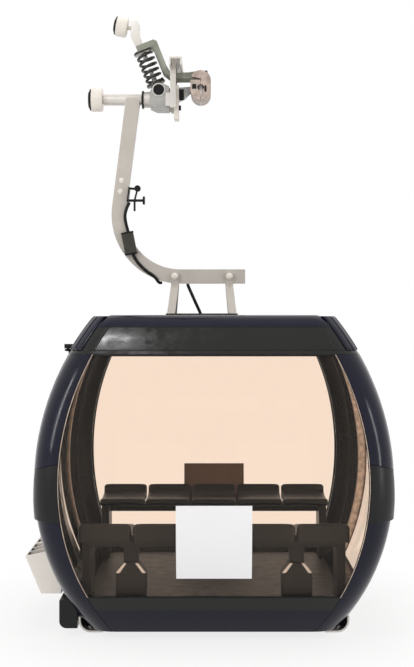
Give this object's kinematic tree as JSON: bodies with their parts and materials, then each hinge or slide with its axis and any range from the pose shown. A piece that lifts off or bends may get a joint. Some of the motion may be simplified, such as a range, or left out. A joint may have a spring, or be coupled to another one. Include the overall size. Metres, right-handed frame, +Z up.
{
  "type": "cable car cabin",
  "caption": "Rounded glass-sided gondola cabin on a bent hanger arm, with a spring-loaded rope grip, double swinging doors, ski racks and two facing benches.",
  "frame": {"origin": "centre of the rope in the closed grip, halfway along the jaws", "axes": "+Y along the rope, +Z up, +X towards the cabin's closed side; the doors are at -X"},
  "size_m": [2.5792, 2.3172, 4.4866],
  "materials": {
    "cast_steel": "cast, light grey",
    "bright_steel": "brushed",
    "pale_steel": "satin",
    "jaw_steel": "worn, matt",
    "white_nylon": "smooth",
    "spring_steel": "semi-gloss",
    "lever_paint": "satin",
    "hanger_paint": "satin, warm light grey",
    "dark_metal": "powder coated",
    "black_metal": "satin",
    "black_rubber": "matt",
    "navy_paint": "gloss, dark navy",
    "gloss_black": "gloss",
    "bumper_plastic": "fine grain",
    "ceiling": "smooth",
    "tinted_glass": "bronze tint",
    "floor_rubber": "matt, fine grain",
    "seat_plastic": "padded, dark grey",
    "rack_metal": "satin"
  },
  "bodies": {
    "grip": {"grip_body": "cast_steel", "hanger_axle": "bright_steel", "friction_plate": "pale_steel", "fixed_jaw": "jaw_steel", "grip_guides": "white_nylon", "grip_spring": "spring_steel"},
    "cabin": {"hanger_arm": "hanger_paint", "hanger_legs": "hanger_paint", "roof_mounts": "dark_metal", "door_cable": "black_rubber", "cable_sleeve": "black_rubber", "door_lever": "black_metal", "roof_shell": "navy_paint", "ceiling_panel": "ceiling", "end_fascias": "gloss_black", "roof_rails": "navy_paint", "door_arm_brackets": "black_metal", "header_frame": "gloss_black", "upper_corner_posts": "navy_paint", "corner_bumpers": "bumper_plastic", "lower_corner_posts": "navy_paint", "front_window": "tinted_glass", "rear_window": "tinted_glass", "right_windows": "tinted_glass", "left_windows": "tinted_glass", "side_pillars": "gloss_black", "front_skirt": "navy_paint", "rear_skirt": "navy_paint", "side_skirts": "navy_paint", "floor": "floor_rubber", "guide_rails": "bright_steel", "door_sill": "bumper_plastic", "front_seats": "seat_plastic", "rear_seats": "seat_plastic", "front_bench_frame": "dark_metal", "rear_bench_frame": "dark_metal"},
    "jaw_lever": {"moving_jaw": "jaw_steel", "lever_cheeks": "lever_paint", "lever_head": "pale_steel"},
    "coupling_roller": {"coupling_roller": "white_nylon"},
    "running_wheel": {"running_wheel": "white_nylon"},
    "front_door": {"front_door": "gloss_black", "front_door_glass": "tinted_glass", "front_ski_rack": "rack_metal"},
    "front_lower_arm": {"front_lower_arm": "black_metal"},
    "front_upper_arm": {"front_upper_arm": "black_metal"},
    "rear_door": {"rear_door": "gloss_black", "rear_door_glass": "tinted_glass", "rear_ski_rack": "rack_metal"},
    "rear_lower_arm": {"rear_lower_arm": "black_metal"},
    "rear_upper_arm": {"rear_upper_arm": "black_metal"}
  },
  "joints": [
    {"name": "hanger_swing", "type": "hinge", "parent": "grip", "child": "cabin", "pos_m": [0, 0, -0.07], "axis": [1, 0, 0], "range_deg": [-45, 45]},
    {"name": "running_wheel_spin", "type": "hinge", "parent": "grip", "child": "running_wheel", "pos_m": [0, 0, -0.07], "axis": [1, 0, 0], "continuous": true},
    {"name": "jaw_open", "type": "hinge", "parent": "grip", "child": "jaw_lever", "pos_m": [0, 0, 0.104], "axis": [0, -1, 0], "range_deg": [0, 10], "deforming": ["grip_spring"]},
    {"name": "coupling_roller_spin", "type": "hinge", "parent": "jaw_lever", "child": "coupling_roller", "pos_m": [-0.6, 0, 0.486], "axis": [0.9816, 0, -0.1908], "continuous": true},
    {"name": "door_open", "type": "hinge", "parent": "cabin", "child": "front_lower_arm", "pos_m": [-0.935, -0.52, -3.683], "axis": [0, 0, 1], "range_deg": [0, 150]},
    {"name": "front_leaf_turn", "type": "hinge", "parent": "front_lower_arm", "child": "front_door", "pos_m": [-0.935, -0.275, -3.683], "axis": [0, 0, 1], "range_deg": [-150, 0]},
    {"name": "front_upper_arm_swing", "type": "hinge", "parent": "cabin", "child": "front_upper_arm", "pos_m": [-0.935, -0.6, -1.947], "axis": [0, 0, 1], "range_deg": [0, 150]},
    {"name": "rear_lower_arm_swing", "type": "hinge", "parent": "cabin", "child": "rear_lower_arm", "pos_m": [-0.935, 0.52, -3.683], "axis": [0, 0, -1], "range_deg": [0, 150]},
    {"name": "rear_leaf_turn", "type": "hinge", "parent": "rear_lower_arm", "child": "rear_door", "pos_m": [-0.935, 0.275, -3.683], "axis": [0, 0, -1], "range_deg": [-150, 0]},
    {"name": "rear_upper_arm_swing", "type": "hinge", "parent": "cabin", "child": "rear_upper_arm", "pos_m": [-0.935, 0.6, -1.947], "axis": [0, 0, -1], "range_deg": [0, 150]}
  ],
  "couplings": [
    {"joint": "front_leaf_turn", "follows": "door_open", "ratio": -1},
    {"joint": "front_upper_arm_swing", "follows": "door_open", "ratio": 1},
    {"joint": "rear_lower_arm_swing", "follows": "door_open", "ratio": 1},
    {"joint": "rear_leaf_turn", "follows": "door_open", "ratio": -1},
    {"joint": "rear_upper_arm_swing", "follows": "door_open", "ratio": 1}
  ]
}
